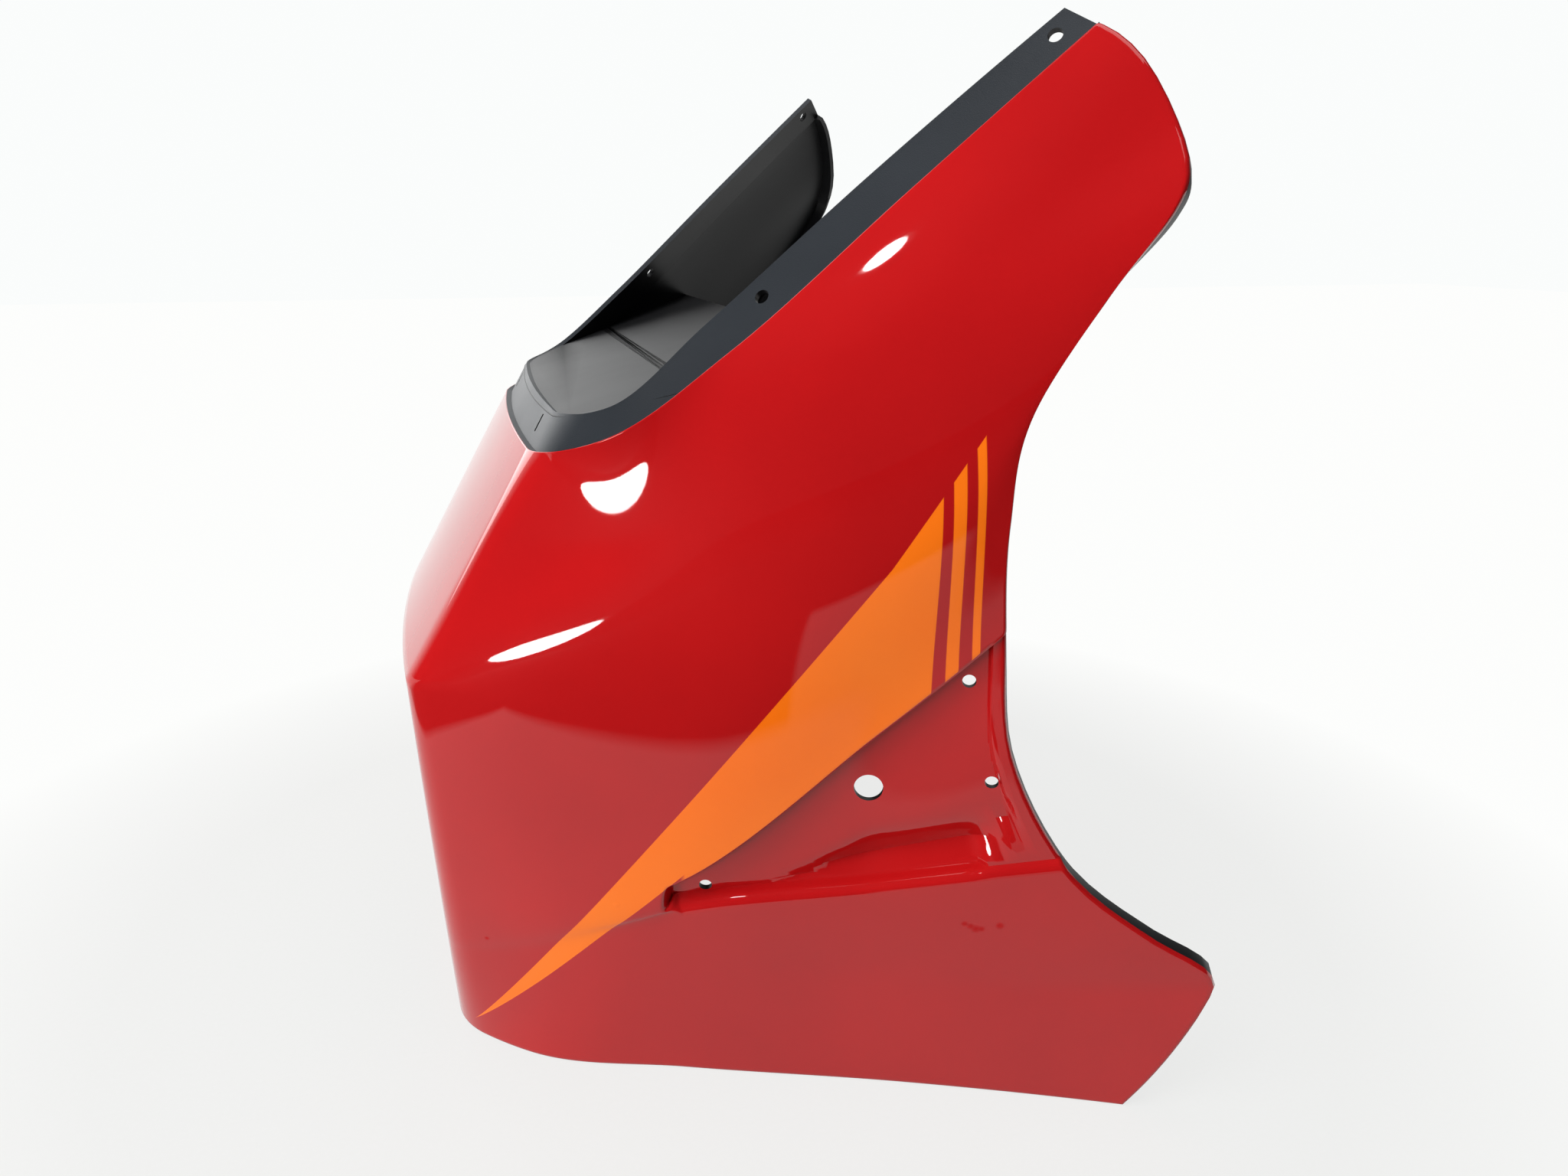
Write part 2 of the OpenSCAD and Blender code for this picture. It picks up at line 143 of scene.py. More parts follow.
def slopes(knots, points):
    """Slopes of the smooth curve at its knots."""
    chords = [(points[i + 1] - points[i]) / (knots[i + 1] - knots[i]) for i in range(len(knots) - 1)]
    inner = [(chords[i] * (knots[i] - knots[i - 1]) + chords[i - 1] * (knots[i + 1] - knots[i]))
             / (knots[i + 1] - knots[i - 1]) for i in range(1, len(knots) - 1)]
    return [2 * chords[0] - inner[0], *inner, 2 * chords[-1] - inner[-1]]


def curve(knots, points, t):
    """Smooth curve through points, which may differ for each value of t."""
    points = [np.broadcast_to(p, (len(t), np.shape(p)[-1])) for p in points]
    tangents = np.stack(slopes(knots, points))
    points = np.stack(points)
    i = np.clip(np.searchsorted(knots, t, side="right") - 1, 0, len(knots) - 2)
    n = np.arange(len(t))
    h = (knots[i + 1] - knots[i])[:, None]
    s = ((t - knots[i])[:, None]) / h
    return (points[i, n] * (1 + 2 * s) * (1 - s) ** 2 + points[i + 1, n] * s * s * (3 - 2 * s)
            + h * (tangents[i, n] * s * (1 - s) ** 2 - tangents[i + 1, n] * s * s * (1 - s)))


def down_levels(knots, points, v):
    """The curve down the levels, straight across the screen's seat."""
    seat = points[0] + (points[1] - points[0]) * v[:, None]
    return np.where((v < 1)[:, None], seat, curve(knots[1:], points[1:], np.maximum(v, 1)))


def ridge_point(z):
    """Points of the ridge between the nose and the side, at heights z."""
    brow = (z - BROW_FOOT_Z) / (SEAT_Z - BROW_FOOT_Z)
    chin = 1 - z / BROW_FOOT_Z
    half = np.where(z > BROW_FOOT_Z, BROW_FOOT_W + (BROW_TOP_W - BROW_FOOT_W) * brow,
                    BROW_FOOT_W + (CHIN_W - BROW_FOOT_W) * chin ** 2) / 2
    x = BROW_BULGE + np.where(z > BROW_FOOT_Z, BROW_RAKE * brow, CHIN_BACK * chin)
    return np.stack([x, half, z], -1)


GUIDES = (ridge_point(RIDGE_Z) + STATION_1, STATION_2, STATION_3)


def skin(u, v):
    """Points of the bare skin on one side, as distance from the front, half width and height in mm."""
    u, v = np.broadcast_arrays(np.asarray(u, float), np.asarray(v, float))
    shape, u, v = u.shape, u.ravel(), v.ravel()
    ridge = ridge_point(down_levels(LEVELS, RIDGE_Z[:, None], v)[:, 0])
    lines = [ridge, *(down_levels(LEVELS, g, v) for g in GUIDES), down_levels(EDGE_LEVEL, EDGE, v)]
    radius = np.interp(v, LEVELS, RIDGE_ROUND)
    front_end = 1 - radius / ridge[:, 1]
    side_start = radius / np.linalg.norm((lines[1] - lines[0]) / STATION_AT[1], axis=1)

    def front(s):
        return np.stack([ridge[:, 0] - BROW_BULGE * (1 - s * s), ridge[:, 1] * s, ridge[:, 2]], -1)

    def side(s):
        return curve(STATION_AT, lines, s)

    q = np.clip(u - 1, 0, 1)[:, None]
    turn = front(front_end) * (1 - q) ** 2 + ridge * 2 * q * (1 - q) + side(side_start) * q * q
    flank = side(side_start + (1 - side_start) * np.clip(u - 2, 0, 1))
    out = np.where((u <= 1)[:, None], front(front_end * np.clip(u, 0, 1)), np.where((u >= 2)[:, None], flank, turn))
    return out.reshape(*shape, 3)


def outward(u, v, e=0.004):
    """Unit normals of the bare skin, from its differences."""
    n = np.cross(skin(u + e, v) - skin(u - e, v), skin(u, v + e) - skin(u, v - e))
    return n / np.linalg.norm(n, axis=-1, keepdims=True)


def distance(a, b):
    return np.linalg.norm(b - a, axis=-1)


SIDE_LENGTH = float(distance(skin(2.4, 4.5), skin(2.5, 4.5))) / 0.1


def rear_length(v):
    """Length in mm of one unit of u at the rear edge."""
    return distance(skin(2.96, v), skin(3.0, v)) / 0.04


def level_lengths(u):
    """Lengths in mm between one level line and the next, down one column."""
    return np.stack([distance(skin(u, k), skin(u, k + 1)) for k in range(7)], -1)


def round_off(r, s):
    """How far a corner of radius r draws its line back, at the share s of the corner."""
    return r * (1 - np.sqrt(1 - np.clip(s, 0, 1) ** 2))


def front_line(v):
    """Where the recess begins, rounded into its crease and its ledge."""
    return FRONT_U + (round_off(3, (4.35 - v) / 0.35) + round_off(7, (v - 4.35) / 0.65)) / SIDE_LENGTH


def band_line(v, band_w):
    """Front line of the band along the rear edge, which widens under the scoop."""
    widening = np.clip(np.where(v < 5, (v - 4.76) / 0.2, 6 - v), 0, 1)
    return 3 - (band_w + 26 * widening) / rear_length(v)


# ---------------------------------------------------------------- rows and columns of the sheet

def shares(a, b, n):
    """The n places that part the way from a to b evenly."""
    return [a + (b - a) * (k + 1) / (n + 1) for k in range(n)]


def row_places(u):
    """Values of v down one column: mm below and above the levels, with even shares between."""
    lengths = level_lengths(u)
    plan = (
        ((0, 0.5, 1.2), 5, (3, 1.7, 1.2, 0.9, 0.7, 0.45, 0.2)),
        ((0, 0.2, 0.5, 0.9, 1.5, 2.6), 8, ()),
        ((0,), 26, ()),
        ((0,), 25, (5, 3.6, 2.6, 1.9, 1.3, 0.8, 0.35)),
        ((0, 0.35, 0.7, 1.05, 1.4, 1.9, 3), 10, (8, 6.6, 5.7, 5.2, 4.7, 4, 3.3, 2.5, 1.7, 0.9)),
        ((0, 0.9, 2.2, 4.5), 9, ()),
        ((0,), 10, (5, 3.6, 2.9, 2.75, 2, 1.5, 1.1, 0.75, 0.45, 0.2, 0)),
    )
    places = []
    for level, (below, count, above) in enumerate(plan):
        length = lengths[level]
        start, end = below[-1] / length, (1 - above[0] / length) if above else 1
        places += [level + mm / length for mm in below]
        places += [level + s for s in shares(start, end, count)]
        places += [level + 1 - mm / length for mm in above]
    return np.array(places)


def column_places(v, size):
    """Values of u along one row, from the middle of the nose to the rear edge."""
    f, b, per_mm = float(front_line(v)), float(band_line(v, size.band_w / MM)), 1 / float(rear_length(v))
    ahead = f - 4 / SIDE_LENGTH
    past = f + 9 / SIDE_LENGTH
    before_band = b - 5 * per_mm
    after_band = b + 3 * per_mm
    near_edge = 3 - 3.6 * per_mm
    return np.array([
        *np.linspace(0, 1, 23), *shares(1, 2, 6), *np.linspace(2, ahead, 32),
        *(f + mm / SIDE_LENGTH for mm in (-2.6, -1.6, -0.8, 0, 0.6, 1.2, 1.8, 2.4, 3, 3.8, 5.4)),
        past, *shares(past, before_band, 30), before_band,
        *(b - mm * per_mm for mm in (3, 2, 1.4, 1.05, 0.7, 0.35, 0, -0.5, -1.2)),
        after_band, *shares(after_band, near_edge, 6), near_edge,
        *(3 - mm * per_mm for mm in (2.9, 2.75, 2.2, 1.6, 1.15, 0.75, 0.45, 0.2, 0))])


def fall(e, r, run, share):
    """How far a step has fallen, from 0 to 1, at the distance e past its upper edge."""
    rounding = share * np.clip(1 + e / r, 0, 1) ** 2
    return np.where(e < 0, rounding, np.clip(share + (1 - share) * e / run, 0, 1))


def soft_min(a, b, k):
    """The smaller of a and b, with the corner between them rounded."""
    h = np.clip(0.5 + 0.5 * (b - a) / k, 0, 1)
    return b + (a - b) * h - k * h * (1 - h)


def below(lengths, v, level):
    """Distance under a level line in mm, less than 0 over it."""
    return (v - level) * np.where(v < level, lengths[..., level - 1], lengths[..., level])


def scoop(x, up, from_band, depth):
    """The scoop pressed into the recess's floor, over the ledge."""
    fold_x, fold_up, fold_rise = SCOOP_FOLD
    full = (SCOOP_TOP - up) / SCOOP_SLOPE
    for side in ((up - LEDGE_R - LEDGE_RUN) / SCOOP_FOOT,
                 (fold_rise * (x - fold_x) + fold_up - up) / SCOOP_SLOPE,
                 from_band / SCOOP_WALL,
                 np.ones_like(up)):
        full = soft_min(full, side, SCOOP_BLEND)
    return depth * np.clip(full, 0, 1)


def steps_depth(u, v, x, lengths, grow, size):
    """Depth of every step under the bare skin; grow widens the steps for the wall's inner side."""
    seat = size.seat_step / MM * fall(grow - below(lengths, v, 1), *SEAT_FALL)
    up = -below(lengths, v, 5)
    from_band = (band_line(v, size.band_w / MM) - u) * rear_length(v)
    inside = np.minimum(np.minimum(
        fall(below(lengths, v, 4) + grow, *CREASE_FALL),
        fall(up - LEDGE_R + grow, *LEDGE_FALL)),
        fall((u - front_line(v)) * SIDE_LENGTH + grow, *FRONT_FALL))
    band, floor = size.band_depth / MM, size.floor_depth / MM
    depth = band + (floor - band) * fall(from_band + grow, *BAND_FALL)
    recess = inside * (depth + scoop(x, up, from_band, size.scoop_depth / MM))
    return seat + np.where((v > 3.5) & (v < 5.5) & (u > 2), recess, 0)


def edge_fall(e, r):
    """How far a rounded edge has fallen at the distance e from it."""
    return r * (1 - np.sqrt(1 - np.clip(1 - e / r, 0, 1) ** 2))


def sheet_places(size):
    """u and v of one side's sheet, in rows from the rim to the hem and columns from the nose to the rear."""
    us = column_places(COLUMN_V, size)
    vs = np.stack([row_places(u) for u in us], 1)
    return np.broadcast_to(us, vs.shape), vs


# ---------------------------------------------------------------- shader helpers

class Socket:
    """A shader's number, on which Python's operators add Math nodes."""

    def __init__(self, tree, socket):
        self.tree = tree
        self.socket = socket

    def maths(self, operation, *values, clamp=False):
        made = node(self.tree, "ShaderNodeMath", {"operation": operation, "use_clamp": clamp},
                    dict(enumerate(values)))
        return Socket(self.tree, made.outputs[0])

    def __add__(self, other):
        return self.maths("ADD", self, other)

    __radd__ = __add__

    def __sub__(self, other):
        return self.maths("SUBTRACT", self, other)

    def __rsub__(self, other):
        return self.maths("SUBTRACT", other, self)

    def __mul__(self, other):
        return self.maths("MULTIPLY", self, other)

    __rmul__ = __mul__

    def __neg__(self):
        return self.maths("MULTIPLY", self, -1)

    def both(self, other):
        return self.maths("MINIMUM", self, other)

    def either(self, other):
        return self.maths("MAXIMUM", self, other)

    def ramp(self, low, high):
        """0 at low and under it, 1 at high and over it."""
        return self.maths("MULTIPLY_ADD", self, 1 / (high - low), -low / (high - low), clamp=True)


def node(tree, kind, settings=None, values=None):
    """A node of that kind: its settings are set first, then the values or links of its sockets."""
    made = tree.nodes.new(kind)
    for name, value in (settings or {}).items():
        setattr(made, name, value)
    for name, value in (values or {}).items():
        socket = made.inputs[name]
        if isinstance(value, Socket):
            tree.links.new(value.socket, socket)
        else:
            socket.default_value = value
    return made


def new_material(name):
    """A material and its empty node tree."""
    material = bpy.data.materials.new(name)
    material.use_nodes = True
    material.node_tree.nodes.clear()
    return material, material.node_tree


def finish_material(material, tree, shader_values, normal=None):
    shader = node(tree, "ShaderNodeBsdfPrincipled", None, shader_values)
    if normal is not None:
        tree.links.new(normal.socket, shader.inputs["Normal"])
    output = node(tree, "ShaderNodeOutputMaterial")
    tree.links.new(shader.outputs[0], output.inputs["Surface"])
    return material


def noise(tree, vector, scale, detail=2.0, roughness=0.5):
    """Noise between 0 and 1, about 0.5 on average."""
    made = node(tree, "ShaderNodeTexNoise", None,
                {"Vector": vector, "Scale": scale, "Detail": detail, "Roughness": roughness})
    return Socket(tree, made.outputs[0])


def mixed(tree, factor, a, b):
    """Colour a where the factor is 0 and colour b where it is 1."""
    made = node(tree, "ShaderNodeMix", {"data_type": "RGBA"}, {"Factor": factor})
    for socket, value in ((made.inputs[6], a), (made.inputs[7], b)):
        if isinstance(value, Socket):
            tree.links.new(value.socket, socket)
        else:
            socket.default_value = (*value, 1)
    return Socket(tree, made.outputs[2])


def bump(tree, height, strength, reach):
    """Normal of a surface raised by the height."""
    made = node(tree, "ShaderNodeBump", None, {"Strength": strength, "Distance": reach, "Height": height})
    return Socket(tree, made.outputs[0])


def places(tree):
    """The piece's own coordinates, whole and as x, y and z in metres."""
    coordinates = Socket(tree, node(tree, "ShaderNodeTexCoord").outputs["Object"])
    split = node(tree, "ShaderNodeSeparateXYZ", None, {0: coordinates})
    return (coordinates, *(Socket(tree, split.outputs[k]) for k in range(3)))


def attribute(tree, name):
    """A number that the mesh's corners carry."""
    return Socket(tree, node(tree, "ShaderNodeAttribute", {"attribute_name": name}).outputs["Fac"])


# ---------------------------------------------------------------- finishes

def line_over(x, z, a, b):
    """Height over the line through a and b of the side view, in metres."""
    rise = (b[1] - a[1]) / (b[0] - a[0])
    return z - (x * rise + (a[1] - rise * a[0]) * MM)


def right_of(x, z, a, b):
    """Distance behind the steep line through a and b of the side view, in metres."""
    lean = (b[0] - a[0]) / (b[1] - a[1])
    return x - (z * lean + (a[0] - lean * a[1]) * MM)


def stripe_mask(x, z, level):
    """The film stripes of one side: a wedge that rises to the rear and two narrow bars behind it."""
    soft, blend, recess_x, crease_x, crease_level = 0.00018, 0.001, -0.0525, -0.056, 3.985
    under_top = (-(line_over(x, z, *WEDGE_TOP).both(line_over(x, z, *WEDGE_TOP_REAR)))).ramp(-soft, soft)
    ahead = (recess_x - x).ramp(-blend, blend)
    over_foot = line_over(x, z, *WEDGE_FOOT).ramp(-soft, soft).either(1 - ahead).both(
        line_over(x, z, *RECESS_FOOT).ramp(-soft, soft).either(ahead))
    over_crease = (crease_level - level).ramp(-0.002, 0.002).either((crease_x - x).ramp(-blend, blend))
    film = (-right_of(x, z, *WEDGE_REAR)).ramp(-soft, soft)
    for front, rear in BARS:
        bar = right_of(x, z, *front).ramp(-soft, soft).both((-right_of(x, z, *rear)).ramp(-soft, soft))
        film = film.either(bar)
    return film.both(under_top).both(over_foot).both(over_crease)


def spots(x, y, z, marks):
    """Small round marks on the left side, as [x, z, radius] in mm: 1 in their middle, 0 round them."""
    found = None
    for at_x, at_z, radius in marks:
        dx, dz = x - at_x * MM, z - at_z * MM
        spot = (dx * dx + dz * dz).ramp((radius * MM) ** 2, 0)
        found = spot if found is None else found.either(spot)
    return found * (-y).ramp(0, 0.01)


def paint_material(colours):
    """Deep gloss red under a clear coat, with the stripes laid on it as film that carries a painted glow, brighter
    than the lamps light it.
    """
    material, tree = new_material("gloss_red_with_stripes")
    where, x, y, z = places(tree)
    stripes = stripe_mask(x, z, attribute(tree, "level"))
    scuffs = spots(x, y, z, SCUFFS)
    bubble = spots(x, y, z, BUBBLE)
    cloud = noise(tree, where, 9, 3)
    red = mixed(tree, cloud.ramp(0.35, 0.7), colours.paint_deep, colours.paint)
    film = mixed(tree, noise(tree, where, 14, 2).ramp(0.3, 0.7), colours.film, colours.film_pale)
    colour = mixed(tree, stripes, red, film)
    # painted light: the stripes glow a little, so they look brighter than the lamps light them
    painted_glow = mixed(tree, stripes, (0, 0, 0), FILM_PAINTED_GLOW)
    peel = noise(tree, where, 260, 2)
    swirl = noise(tree, where, 2600, 3)
    dust = noise(tree, where, 1150, 1).ramp(0.74, 0.8)
    gloss = 0.36 + swirl * 0.05
    height = peel * 0.6 + stripes * 0.8 + bubble * 7
    return finish_material(material, tree, {
        "Base Color": colour, "Roughness": gloss, "Specular IOR Level": 0.02, "IOR": 1.5,
        "Coat Weight": 1 - dust * 0.3 - stripes * 0.3 - scuffs * 0.75, "Coat Roughness": 0.03, "Coat IOR": 1.5,
        "Emission Color": painted_glow, "Emission Strength": 1.0},
        bump(tree, height, 0.12, 0.0002))


def dark_material(name, colour, rough, shine, grain, grain_scale):
    """Bare dark plastic with the fine grain of its mould."""
    material, tree = new_material(name)
    where = places(tree)[0]
    cloud = noise(tree, where, 18, 3)
    fine = noise(tree, where, grain_scale, 2)
    tint = mixed(tree, cloud.ramp(0.3, 0.75), [c * 0.8 for c in colour], colour)
    return finish_material(material, tree, {
        "Base Color": tint, "Roughness": rough + (cloud - 0.5) * 0.12, "Specular IOR Level": shine},
        bump(tree, fine, grain, 0.0003))


def floor_material():
    """Pale paper that fades into a white background; on the lamps' side mirror rays alone see it end, dark, as a
    painted reflection.
    """
    material, tree = new_material("pale_floor")
    where, x, y = places(tree)[:3]
    grain = noise(tree, where, 420, 2)
    tint = mixed(tree, grain.ramp(0.3, 0.7), (0.44, 0.435, 0.42), (0.47, 0.467, 0.46))
    paper = node(tree, "ShaderNodeBsdfDiffuse", None, {"Color": tint})
    white = node(tree, "ShaderNodeEmission", None, {"Color": (0.98, 0.985, 0.975, 1), "Strength": 1.0})
    dark = node(tree, "ShaderNodeBsdfDiffuse", None, {"Color": (0.03, 0.03, 0.03, 1)})
    path = node(tree, "ShaderNodeLightPath")
    camera, mirror = (Socket(tree, path.outputs[k]) for k in ("Is Camera Ray", "Is Glossy Ray"))
    far = (x * x + y * y).ramp(0.1, 0.9)
    faded = node(tree, "ShaderNodeMixShader", None, {0: camera.either(mirror) * (0.8 + far)})
    tree.links.new(paper.outputs[0], faded.inputs[1])
    tree.links.new(white.outputs[0], faded.inputs[2])
    # painted reflection: mirror rays alone see the floor end, dark, on the lamps' side, with a paler strip across
    # that end, which darkens the paint's lower side and dulls its recess
    end = (-0.462 - x).either(-0.372 - y - 0.18 * x).ramp(-0.012, 0.012)
    painted_pale_strip = (x + 0.08 - 0.55 * (y + 0.4)).ramp(-0.005, 0.005) * (0.08 - x).ramp(-0.02, 0.02)
    reach = end * (0.2 - y).ramp(-0.1, 0.1) * (1 - painted_pale_strip * (y + 0.63).ramp(-0.02, 0.02) * 0.65)
    # the dark floor that only mirror rays see, a painted reflection in the paint
    mix = node(tree, "ShaderNodeMixShader", None, {0: reach * mirror})
    tree.links.new(faded.outputs[0], mix.inputs[1])
    tree.links.new(dark.outputs[0], mix.inputs[2])
    output = node(tree, "ShaderNodeOutputMaterial")
    tree.links.new(mix.outputs[0], output.inputs["Surface"])
    return material


# ---------------------------------------------------------------- mesh helpers

def keep_mesh(bm, name, materials):
    """Turns the bmesh into a piece of the scene."""
    mesh = bpy.data.meshes.new(name)
    bm.to_mesh(mesh)
    bm.free()
    for material in materials:
        mesh.materials.append(material)
    piece = bpy.data.objects.new(name, mesh)
    bpy.context.scene.collection.objects.link(piece)
    return piece


def grid_sheet(bm, rows, columns, points, flip):
    """A grid of that many rows and columns whose corners are moved onto points."""
    made = bmesh.ops.create_grid(bm, x_segments=columns - 1, y_segments=rows - 1, size=1)
    verts = made["verts"]
    for vert in verts:
        i = round((1 - vert.co.y) / 2 * (rows - 1))
        j = round((vert.co.x + 1) / 2 * (columns - 1))
        vert.co = points[i, j]
    faces = list({f for vert in verts for f in vert.link_faces})
    if flip:
        bmesh.ops.reverse_faces(bm, faces=faces)
    return verts, faces


def cut(piece, cutters, operation="DIFFERENCE"):
    """Takes the cutters out of the piece, or joins them to it, and removes them."""
    for cutter in cutters:
        modifier = piece.modifiers.new("cut", "BOOLEAN")
        modifier.operation = operation
        modifier.solver = "MANIFOLD"
        modifier.object = cutter
        bpy.context.view_layer.objects.active = piece
        bpy.ops.object.modifier_apply(modifier=modifier.name)
        mesh = cutter.data
        bpy.data.objects.remove(cutter)
        bpy.data.meshes.remove(mesh)


def turned(point, normal):
    """Matrix that lays +Z along the normal at the point, and X along the level there."""
    z = Vector(normal).normalized()
    x = Vector((0, 0, 1)).cross(z).normalized()
    y = z.cross(x)
    turn = Matrix((x, y, z)).transposed().to_4x4()
    return Matrix.Translation(Vector(point)) @ turn


# ---------------------------------------------------------------- sizes and colours

class CowlSizes(bpy.types.PropertyGroup):
    """Sizes of the shell that a user would change."""
    wall: FloatProperty(name="Wall", description="Thickness of the moulded wall", default=2.6 * MM,
                        unit="LENGTH", subtype="DISTANCE", precision=4)
    lip_depth: FloatProperty(name="Lip depth", description="Depth of the lip turned in along the edges",
                             default=9 * MM, unit="LENGTH", subtype="DISTANCE", precision=4)
    lip_w: FloatProperty(name="Lip thickness", description="Thickness of the lip", default=2.8 * MM,
                         unit="LENGTH", subtype="DISTANCE", precision=4)
    edge_r: FloatProperty(name="Edge rounding", description="Rounding of the painted edge over the lip",
                          default=2 * MM, unit="LENGTH", subtype="DISTANCE", precision=4)
    seat_step: FloatProperty(name="Seat step", description="How far the screen's seat lies under the paint",
                             default=2.8 * MM, unit="LENGTH", subtype="DISTANCE", precision=4)
    band_w: FloatProperty(name="Band width", description="Width of the band along the rear edge",
                          default=7 * MM, unit="LENGTH", subtype="DISTANCE", precision=4)
    band_depth: FloatProperty(name="Band depth", description="Depth of the band along the rear edge",
                              default=3 * MM, unit="LENGTH", subtype="DISTANCE", precision=4)
    floor_depth: FloatProperty(name="Recess depth", description="Depth of the side recess's floor",
                               default=7 * MM, unit="LENGTH", subtype="DISTANCE", precision=4)
    scoop_depth: FloatProperty(name="Scoop depth", description="Depth of the scoop under the recess's floor",
                               default=7 * MM, unit="LENGTH", subtype="DISTANCE", precision=4)
    screw_d: FloatProperty(name="Screw hole", description="Diameter of the screen's screw holes",
                           default=5.6 * MM, unit="LENGTH", subtype="DISTANCE", precision=4)
    screw_inset: FloatProperty(name="Screw inset", description="Rear screw hole to the rear end of the seat",
                               default=10 * MM, unit="LENGTH", subtype="DISTANCE", precision=4)


class CowlColours(bpy.types.PropertyGroup):
    """Colours of the finish."""
    paint: FloatVectorProperty(name="Paint", description="Red of the paint", subtype="COLOR", size=3,
                               default=(0.56, 0.0075, 0.0085), min=0, max=1)
    paint_deep: FloatVectorProperty(name="Deep paint", description="Red where the paint lies thicker",
                                    subtype="COLOR", size=3, default=(0.49, 0.006, 0.0075), min=0, max=1)
    film: FloatVectorProperty(name="Stripe", description="Orange of the film stripes", subtype="COLOR",
                              size=3, default=(1.0, 0.175, 0.005), min=0, max=1)
    film_pale: FloatVectorProperty(name="Pale stripe", description="Orange where the film shows more light",
                                   subtype="COLOR", size=3, default=(1.0, 0.2, 0.01), min=0, max=1)
    seat: FloatVectorProperty(name="Seat", description="Satin charcoal of the screen's seat", subtype="COLOR",
                              size=3, default=(0.021, 0.0255, 0.032), min=0, max=1)
    inner: FloatVectorProperty(name="Inside", description="Dark plastic of the inside", subtype="COLOR",
                               size=3, default=(0.011, 0.011, 0.012), min=0, max=1)


# ---------------------------------------------------------------- pieces

class COWL_OT_shell(bpy.types.Operator):
    """Builds the moulded shell with its seat, recesses, lips, shelf and holes"""
    bl_idname = "cowl.shell"
    bl_label = "Moulded shell"

    def execute(self, context):
        size, colours = context.scene.cowl_sizes, context.scene.cowl_colours
        low, high = CAD_BOX
        middle = (high.x - low.x) / 2 / MM
        u, v = sheet_places(size)
        sheets = [self.both_sides(points, middle) for points in self.wall_sides(u, v, size)]
        level = np.concatenate([v[:, ::-1], v[:, 1:]], 1)
        materials = [paint_material(colours),
                     dark_material("satin_seat", colours.seat, 0.46, 0.4, 0.25, 2400),
                     dark_material("inner_plastic", colours.inner, 0.42, 0.25, 0.12, 900)]
        piece = keep_mesh(self.closed_sheets(sheets, level), "moulded_shell", materials)

        cutters = [*self.hole_cutters(size, middle), self.lamp_cutter(middle)]
        cut(piece, [self.shelf(middle)], "UNION")
        cut(piece, cutters)
        for k, material in enumerate(materials):
            piece.data.materials[k] = material
        while len(piece.data.materials) > len(materials):
            piece.data.materials.pop()
        piece.data.set_sharp_from_angle(angle=SHARP_ANGLE)
        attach(piece, "root")
        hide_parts(NODE)
        return {"FINISHED"}

    def wall_sides(self, u, v, size):
        """Points of the wall's outer and inner side on one half, in mm from the front."""
        bare, normal = skin(u, v), outward(u, v)
        lengths = np.broadcast_to(level_lengths(u[0])[None], u.shape + (7,))
        to_rear = (3 - u) * rear_length(v)
        to_hem = (7 - v) * lengths[..., 6]
        r = size.edge_r / MM
        outer = steps_depth(u, v, bare[..., 0], lengths, 0, size) + np.where(
            v < 1, 0, np.maximum(edge_fall(to_rear, r), edge_fall(to_hem, r)))
        wall, lip_w, lip_depth = size.wall / MM, size.lip_w / MM, size.lip_depth / MM
        at_lip = (v >= 0.999) & (np.minimum(to_rear, to_hem) < lip_w + 0.02)
        inner = np.maximum(wall + steps_depth(u, v, bare[..., 0], lengths, wall, size),
                           np.where(at_lip, lip_depth, 0))
        return [bare - depth[..., None] * normal for depth in (outer, inner)]

    def both_sides(self, points, middle):
        """The points and their mirror image, kept inside the CAD's box, in metres from the middle."""
        low, high = CAD_BOX
        points[-1, :, 2] = 0
        points[:, 0, 1] = 0
        points[..., 0] -= middle
        points = np.clip(points, (low.x / MM, 0, 0), (high.x / MM, high.y / MM, high.z / MM))
        left = points * (1, -1, 1)
        return np.concatenate([left[:, ::-1], points[:, 1:]], 1) * MM

    def closed_sheets(self, sheets, level):
        """The outer and the inner sheet joined along their rims, with the level as an attribute."""
        rows, columns = level.shape
        bm = bmesh.new()
        layer = bm.verts.layers.float.new("level")
        for k, points in enumerate(sheets):
            verts, faces = grid_sheet(bm, rows, columns, points, k == 0)
            # the grid's corners come row by row, from its lower side
            for n, vert in enumerate(verts):
                vert[layer] = level[rows - 1 - n // columns, n % columns]
            for face in faces:
                top = min(vert[layer] for vert in face.verts)
                face.smooth = True
                face.material_index = INNER if k else (SEAT if top < 0.9995 else PAINT)
        made = bmesh.ops.bridge_loops(bm, edges=[e for e in bm.edges if e.is_boundary])
        for face in made["faces"]:
            face.smooth = True
            face.material_index = SEAT if all(vert[layer] < 0.001 for vert in face.verts) else INNER
        bmesh.ops.recalc_face_normals(bm, faces=bm.faces)
        return bm

    def cutter(self, bm, name):
        """A body that is cut away or joined, whose faces show the inside's plastic."""
        for face in bm.faces:
            face.material_index = INNER
        return keep_mesh(bm, name, [None, None, None])

    def hole_cutters(self, size, middle):
        """Cylinders square to the skin at every hole, and the blocks of the two slots."""
        rear_u = 3 - size.screw_inset / MM / float(rear_length(np.array([SCREW_V]))[0])
        holes = [(SCREW_U, SCREW_V, size.screw_d / MM), (rear_u, SCREW_V, size.screw_d / MM)]
        for x, z, d in RECESS_HOLES:
            holes.append((*locate(x, z), d))
        made = []
        for side in (-1, 1):
            for u, v, d in holes:
                bm = bmesh.new()
                bmesh.ops.create_cone(bm, cap_ends=True, segments=48, radius1=d / 2 * MM, radius2=d / 2 * MM,
                                      depth=HOLE_CUT * MM, matrix=self.seat_frame(u, v, side, middle))
                made.append(self.cutter(bm, "hole"))
            bm = bmesh.new()
            bmesh.ops.create_cube(bm, size=1, matrix=self.seat_frame(SLOT_U, SLOT_V, side, middle)
                                  @ Matrix.Diagonal((*(s * MM for s in SLOT_SIZE), 1)))
            made.append(self.cutter(bm, "slot"))
        return made

